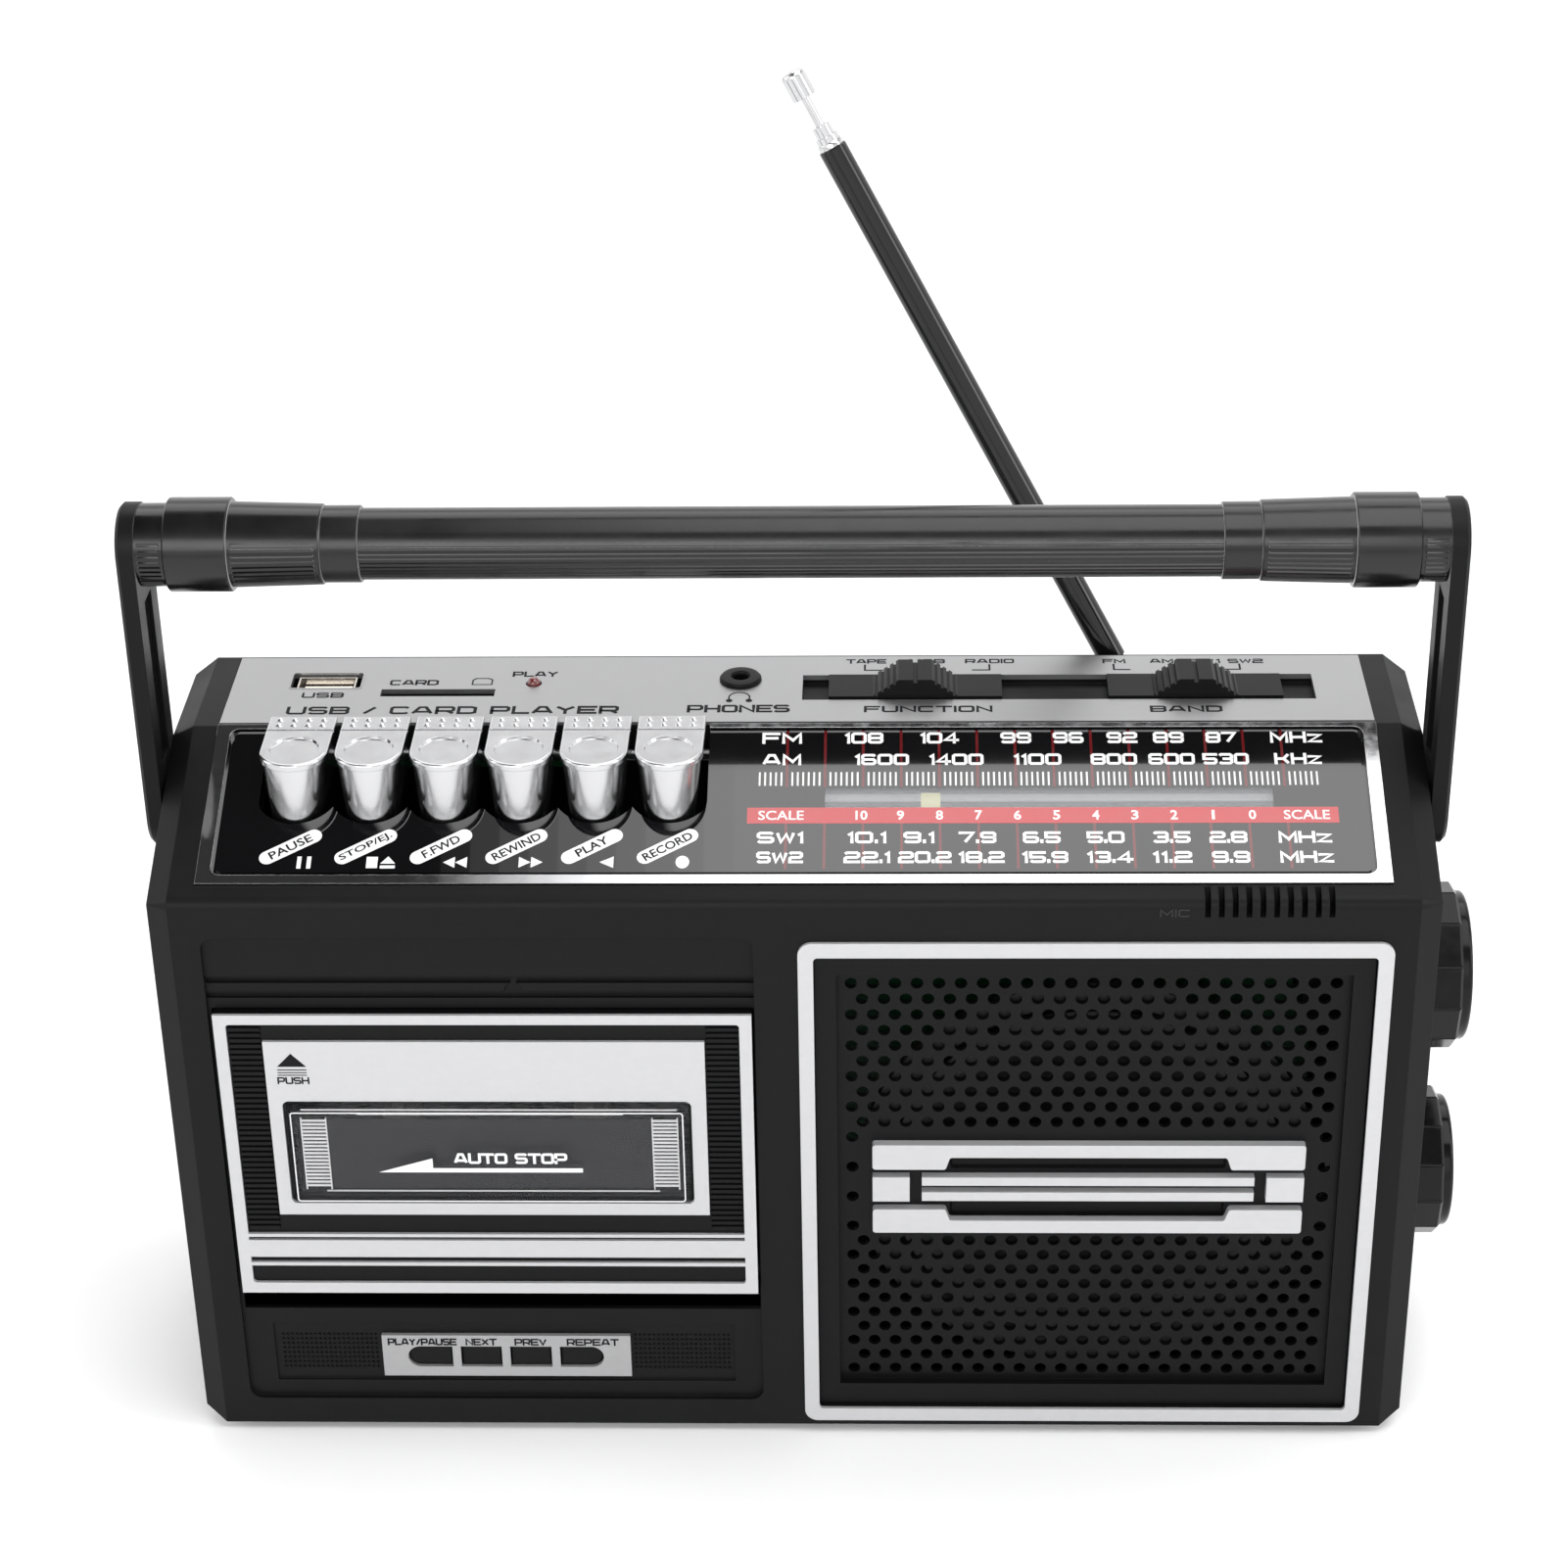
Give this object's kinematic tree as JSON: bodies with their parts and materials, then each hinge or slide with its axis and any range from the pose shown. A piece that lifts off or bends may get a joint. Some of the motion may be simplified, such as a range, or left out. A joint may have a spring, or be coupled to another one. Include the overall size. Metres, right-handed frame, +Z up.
{
  "type": "portable radio cassette recorder",
  "caption": "Portable radio cassette recorder: slanted dial with piano keys, hinged tape door, perforated speaker grille, side knobs, carrying handle and telescopic aerial.",
  "frame": {"origin": "on the plane of the standing rim, under the centre of the cabinet", "axes": "+Z up, -Y out of the front face with the cassette door and grille, +X towards the end with the knobs"},
  "size_m": [0.2912, 0.1158, 0.288],
  "materials": {
    "black_shell": "fine moulded grain",
    "rubber": "matte",
    "steel": "plated",
    "silver_trim": "silver plated",
    "gloss_black": "polished",
    "knob_black": "polished",
    "clear_window": "clear",
    "pointer": "satin",
    "brushed_panel": "brushed",
    "black_plastic": "satin",
    "socket_metal": "plated",
    "circuit_board": "lacquered",
    "red_lamp": "clear dyed",
    "smoked_window": "polished",
    "head_metal": "polished",
    "white_plastic": "moulded",
    "brass": "turned",
    "black_steel": "satin",
    "paper_cone": "pulp",
    "handle_plastic": "satin",
    "aerial_black": "gloss lacquer",
    "chrome": "polished",
    "chrome_key": "plated plastic"
  },
  "bodies": {
    "cabinet": {"front_cabinet": "black_shell", "back_cabinet": "black_shell", "case_screws": "steel", "control_frame": "chrome_key", "control_panel": "gloss_black", "dial_window": "clear_window", "key_shaft": "steel", "top_panel": "brushed_panel", "slide_switches": "steel", "usb_socket": "socket_metal", "player_board": "circuit_board", "play_lamp": "red_lamp", "headphone_jack": "black_plastic", "deck_chassis": "steel", "tape_heads": "head_metal", "deck_motor": "steel", "drive_belt": "rubber", "keypad_plate": "silver_trim", "speaker_grille": "black_plastic", "speaker_trim": "silver_trim", "aerial_bracket": "black_plastic", "speaker_frame": "black_steel", "speaker_cone": "paper_cone", "tuning_capacitor": "black_plastic", "volume_potentiometer": "steel", "main_circuit_board": "circuit_board", "mains_inlet": "black_plastic", "mains_transformer": "steel", "battery_contacts": "steel"},
    "door": {"cassette_door": "black_plastic", "door_trim": "silver_trim", "door_window": "smoked_window"},
    "function_slide": {"function_slider": "black_plastic"},
    "band_slide": {"band_slider": "black_plastic"},
    "tuning": {"tuning_knob": "knob_black"},
    "pointer": {"dial_pointer": "pointer"},
    "volume": {"volume_knob": "knob_black"},
    "handle": {"left_handle_arm": "black_shell", "right_handle_arm": "black_shell", "handle_grip": "handle_plastic"},
    "swivel": {"aerial_base": "black_plastic"},
    "aerial": {"aerial_tube": "aerial_black"},
    "aerial_stage_1": {"aerial_outer_section": "chrome"},
    "aerial_stage_2": {"aerial_inner_section": "chrome"},
    "aerial_stage_3": {"aerial_rod": "chrome"},
    "flywheel": {"capstan_flywheel": "steel"},
    "pulley": {"motor_pulley": "brass"},
    "supply_reel": {"supply_spindle": "white_plastic"},
    "takeup_reel": {"takeup_spindle": "white_plastic"},
    "hatch": {"battery_cover": "black_shell"},
    "pause": {"pause_key": "chrome_key"},
    "stop_eject": {"stop_eject_key": "chrome_key"},
    "fast_forward": {"fast_forward_key": "chrome_key"},
    "rewind": {"rewind_key": "chrome_key"},
    "play": {"play_key": "chrome_key"},
    "record": {"record_key": "chrome_key"},
    "play_pause_press": {"play_pause_button": "rubber"},
    "next_press": {"next_button": "rubber"},
    "previous_press": {"previous_button": "rubber"},
    "repeat_press": {"repeat_button": "rubber"}
  },
  "joints": [
    {"name": "door_hinge", "type": "hinge", "parent": "cabinet", "child": "door", "pos_m": [0, -0.0345, 0.0435], "axis": [1, 0, 0], "range_deg": [0, 35]},
    {"name": "pause_key_travel", "type": "hinge", "parent": "cabinet", "child": "pause", "pos_m": [0, 0.014, 0.1495], "axis": [1, 0, 0], "range_deg": [0, 8], "stiffness_Nm_per_rad": 0.5, "springref_deg": -5.73},
    {"name": "stop_eject_key_travel", "type": "hinge", "parent": "cabinet", "child": "stop_eject", "pos_m": [0, 0.014, 0.1495], "axis": [1, 0, 0], "range_deg": [0, 8], "stiffness_Nm_per_rad": 0.5, "springref_deg": -5.73},
    {"name": "fast_forward_key_travel", "type": "hinge", "parent": "cabinet", "child": "fast_forward", "pos_m": [0, 0.014, 0.1495], "axis": [1, 0, 0], "range_deg": [0, 8], "stiffness_Nm_per_rad": 0.5, "springref_deg": -5.73},
    {"name": "rewind_key_travel", "type": "hinge", "parent": "cabinet", "child": "rewind", "pos_m": [0, 0.014, 0.1495], "axis": [1, 0, 0], "range_deg": [0, 8], "stiffness_Nm_per_rad": 0.5, "springref_deg": -5.73},
    {"name": "play_key_travel", "type": "hinge", "parent": "cabinet", "child": "play", "pos_m": [0, 0.014, 0.1495], "axis": [1, 0, 0], "range_deg": [0, 8], "stiffness_Nm_per_rad": 0.5, "springref_deg": -5.73},
    {"name": "record_key_travel", "type": "hinge", "parent": "cabinet", "child": "record", "pos_m": [0, 0.014, 0.1495], "axis": [1, 0, 0], "range_deg": [0, 8], "stiffness_Nm_per_rad": 0.5, "springref_deg": -5.73},
    {"name": "play_pause_button_travel", "type": "slide", "parent": "cabinet", "child": "play_pause_press", "axis": [0, 1, 0], "range_m": [0, 0.0009], "stiffness_N_per_m": 800, "springref_m": -0.001},
    {"name": "next_button_travel", "type": "slide", "parent": "cabinet", "child": "next_press", "axis": [0, 1, 0], "range_m": [0, 0.0009], "stiffness_N_per_m": 800, "springref_m": -0.001},
    {"name": "previous_button_travel", "type": "slide", "parent": "cabinet", "child": "previous_press", "axis": [0, 1, 0], "range_m": [0, 0.0009], "stiffness_N_per_m": 800, "springref_m": -0.001},
    {"name": "repeat_button_travel", "type": "slide", "parent": "cabinet", "child": "repeat_press", "axis": [0, 1, 0], "range_m": [0, 0.0009], "stiffness_N_per_m": 800, "springref_m": -0.001},
    {"name": "function_select", "type": "slide", "parent": "cabinet", "child": "function_slide", "axis": [1, 0, 0], "range_m": [-0.0055, 0.0055]},
    {"name": "band_select", "type": "slide", "parent": "cabinet", "child": "band_slide", "axis": [1, 0, 0], "range_m": [-0.011, 0.0055]},
    {"name": "tuning_turn", "type": "hinge", "parent": "cabinet", "child": "tuning", "pos_m": [0.149, -0.002, 0.1034], "axis": [-1, 0, 0], "range_deg": [-60, 219]},
    {"name": "pointer_travel", "type": "slide", "parent": "cabinet", "child": "pointer", "axis": [1, 0, 0], "range_m": [-0.019, 0.069]},
    {"name": "volume_turn", "type": "hinge", "parent": "cabinet", "child": "volume", "pos_m": [0.149, -0.002, 0.0504], "axis": [-1, 0, 0], "range_deg": [-120, 180]},
    {"name": "handle_swing", "type": "hinge", "parent": "cabinet", "child": "handle", "pos_m": [0, 0.001, 0.144], "axis": [1, 0, 0], "range_deg": [-20, 90]},
    {"name": "aerial_swivel", "type": "hinge", "parent": "cabinet", "child": "swivel", "pos_m": [0.0748, 0.0442, 0.141], "axis": [0, 0, 1], "range_deg": [-159, 19]},
    {"name": "aerial_tilt", "type": "hinge", "parent": "swivel", "child": "aerial", "pos_m": [0.0748, 0.0442, 0.1515], "axis": [-0.3387, -0.9409, 0], "range_deg": [-30, 59.2]},
    {"name": "aerial_extend_1", "type": "slide", "parent": "aerial", "child": "aerial_stage_1", "axis": [-0.4775, 0.1719, 0.8616], "range_m": [0, 0.108]},
    {"name": "aerial_extend_2", "type": "slide", "parent": "aerial_stage_1", "child": "aerial_stage_2", "axis": [-0.4775, 0.1719, 0.8616], "range_m": [0, 0.105]},
    {"name": "aerial_extend_3", "type": "slide", "parent": "aerial_stage_2", "child": "aerial_stage_3", "axis": [-0.4775, 0.1719, 0.8616], "range_m": [-0.007, 0.1]},
    {"name": "flywheel_spin", "type": "hinge", "parent": "cabinet", "child": "flywheel", "pos_m": [-0.034, -0.0125, 0.103], "axis": [0, 1, 0], "continuous": true},
    {"name": "motor_spin", "type": "hinge", "parent": "cabinet", "child": "pulley", "pos_m": [-0.104, -0.0125, 0.098], "axis": [0, 1, 0], "continuous": true},
    {"name": "supply_reel_spin", "type": "hinge", "parent": "cabinet", "child": "supply_reel", "pos_m": [-0.08825, -0.018, 0.0773], "axis": [0, 1, 0], "continuous": true},
    {"name": "takeup_reel_spin", "type": "hinge", "parent": "cabinet", "child": "takeup_reel", "pos_m": [-0.04575, -0.018, 0.0773], "axis": [0, 1, 0], "continuous": true},
    {"name": "battery_cover_hinge", "type": "hinge", "parent": "cabinet", "child": "hatch", "pos_m": [0, 0.0382, 0.0075], "axis": [-1, 0, 0], "range_deg": [0, 80]}
  ],
  "couplings": [
    {"joint": "pointer_travel", "follows": "tuning_turn", "m_per_rad": 0.018},
    {"joint": "motor_spin", "follows": "flywheel_spin", "ratio": 4.5}
  ]
}
